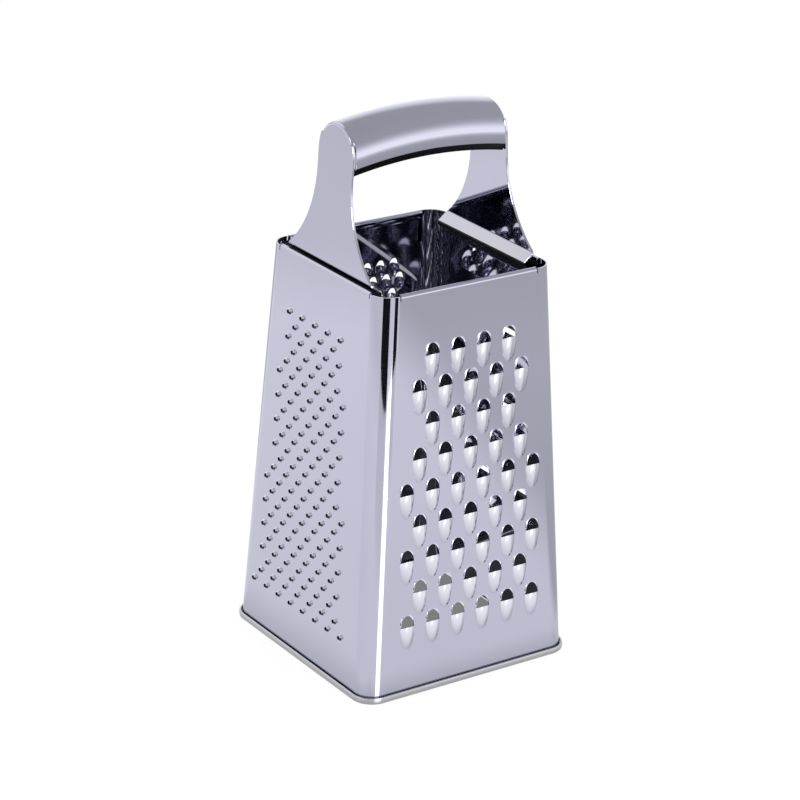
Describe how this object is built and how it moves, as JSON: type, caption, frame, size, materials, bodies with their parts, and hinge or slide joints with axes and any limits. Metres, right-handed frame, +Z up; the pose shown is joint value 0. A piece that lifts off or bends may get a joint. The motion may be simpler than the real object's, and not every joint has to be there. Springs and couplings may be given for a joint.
{
  "type": "box grater",
  "caption": "Box grater in stainless sheet: tapered walls with coarse, medium, fine and slicing cutters, a channel rim round the base and an arched handle over the open mouth.",
  "frame": {"origin": "middle of the base, on the surface that the rim stands on", "axes": "+Z up to the handle, -Y out of the coarse wall, +X along the grip and out of the slicing wall"},
  "size_m": [0.1014, 0.1014, 0.2278],
  "materials": {
    "polished_steel": "polished stainless sheet, near mirror",
    "rim_steel": "satin stainless sheet",
    "handle_steel": "polished stainless sheet with a soft satin sheen on the grip"
  },
  "bodies": {
    "root": {"coarse_panel": "polished_steel", "slicer_panel": "polished_steel", "medium_panel": "polished_steel", "fine_panel": "polished_steel", "base_rim": "rim_steel", "handle": "handle_steel"}
  },
  "joints": []
}
